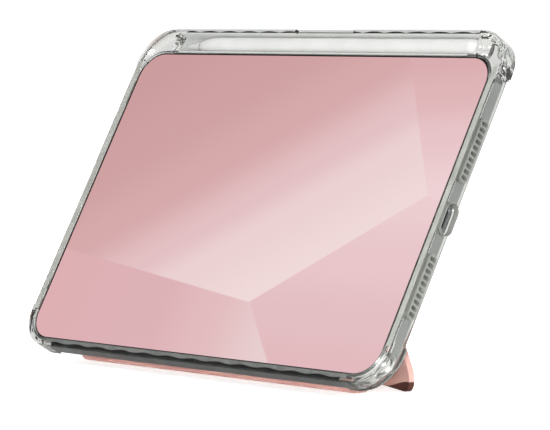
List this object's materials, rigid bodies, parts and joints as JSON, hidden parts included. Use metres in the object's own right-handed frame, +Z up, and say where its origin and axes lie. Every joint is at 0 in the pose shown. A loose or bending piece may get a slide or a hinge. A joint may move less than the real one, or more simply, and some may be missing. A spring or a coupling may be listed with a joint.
{
  "type": "tablet computer",
  "caption": "Small tablet computer in a clear case, with a stylus in the case's top channel and a folding pink stand cover holding it upright in landscape.",
  "frame": {"origin": "middle of the footprint, on the surface that the stand rests on", "axes": "+X to the viewer's right along the long edge, -Y to the front, which the screen faces, +Z up"},
  "size_m": [0.2012, 0.0814, 0.1336],
  "materials": {
    "aluminium": "satin anodised",
    "black_film": "matt",
    "board": "solder mask",
    "cell_foil": "matt",
    "clear_hard": "clear hard plastic",
    "clear_soft": "clear soft plastic",
    "copper": "wound",
    "dark_toe": "matt",
    "display": "picture under glass",
    "flash": "clear",
    "flex": "film",
    "glass": "polished",
    "grey_plastic": "moulded",
    "lens": "polished",
    "magnet": "plated",
    "module": "moulded",
    "pink_cover": "fine grained",
    "steel": "bright",
    "white_gloss": "satin white"
  },
  "bodies": {
    "tablet": {"rear_housing": "aluminium", "cover_glass": "glass", "glass_adhesive": "black_film", "lcd_panel": "display", "backlight_unit": "module", "display_shield": "steel", "battery_cell_upper": "cell_foil", "battery_cell_lower": "cell_foil", "battery_flex": "flex", "charging_flex": "flex", "logic_board": "board", "processor_shield": "steel", "memory_shield": "steel", "power_shield": "steel", "display_flex": "flex", "board_screws": "steel", "usb_c_receptacle": "steel", "speaker_upper_right": "module", "speaker_lower_right": "module", "speaker_upper_left": "module", "speaker_lower_left": "module", "front_camera": "module", "microphones": "steel", "stylus_charging_coil": "copper", "edge_magnets": "magnet", "rear_camera": "module", "camera_ring": "aluminium", "camera_lens": "lens", "camera_flash": "flash", "power_switch": "module", "volume_switches": "module", "case_bumper": "clear_soft", "case_back_panel": "clear_hard", "case_magnets": "magnet", "base_board": "pink_cover", "base_magnets": "magnet", "foot_rail": "pink_cover", "leg_header": "pink_cover"},
    "power_key": {"power_button": "aluminium", "power_key_pad": "clear_soft"},
    "volume_up_key": {"volume_up_button": "aluminium", "volume_up_key_pad": "clear_soft"},
    "volume_down_key": {"volume_down_button": "aluminium", "volume_down_key_pad": "clear_soft"},
    "stylus": {"stylus_barrel": "white_gloss", "stylus_tip": "white_gloss", "stylus_seam_ring": "grey_plastic", "stylus_stem": "steel", "stylus_battery": "steel", "stylus_board": "board", "stylus_coil": "copper"},
    "leg": {"leg_panel": "pink_cover"},
    "right_wing": {"wing_right": "pink_cover", "toe_right": "dark_toe"},
    "left_wing": {"wing_left": "pink_cover", "toe_left": "dark_toe"}
  },
  "joints": [
    {"name": "power_press", "type": "slide", "parent": "tablet", "child": "power_key", "axis": [1, 0, 0], "range_m": [0, 0.0003], "stiffness_N_per_m": 2000},
    {"name": "volume_up_press", "type": "slide", "parent": "tablet", "child": "volume_up_key", "axis": [1, 0, 0], "range_m": [0, 0.0003], "stiffness_N_per_m": 2000},
    {"name": "volume_down_press", "type": "slide", "parent": "tablet", "child": "volume_down_key", "axis": [1, 0, 0], "range_m": [0, 0.0003], "stiffness_N_per_m": 2000},
    {"name": "stylus_lift", "type": "slide", "parent": "tablet", "child": "stylus", "axis": [0, -0.863, 0.5053], "range_m": [0, 0.012]},
    {"name": "leg_fold", "type": "hinge", "parent": "tablet", "child": "leg", "pos_m": [0, 0.01612, 0.08225], "axis": [-1, 0, 0], "range_deg": [0, 30.35]},
    {"name": "right_wing_fold", "type": "hinge", "parent": "leg", "child": "right_wing", "pos_m": [0.03, 0.01612, 0.04], "axis": [0, 0, 1], "range_deg": [0, 24.74]},
    {"name": "left_wing_fold", "type": "hinge", "parent": "leg", "child": "left_wing", "pos_m": [-0.03, 0.01612, 0.04], "axis": [0, 0, -1], "range_deg": [0, 24.74]}
  ],
  "couplings": [
    {"joint": "right_wing_fold", "follows": "leg_fold", "ratio": 0.8142},
    {"joint": "left_wing_fold", "follows": "leg_fold", "ratio": 0.8142}
  ]
}
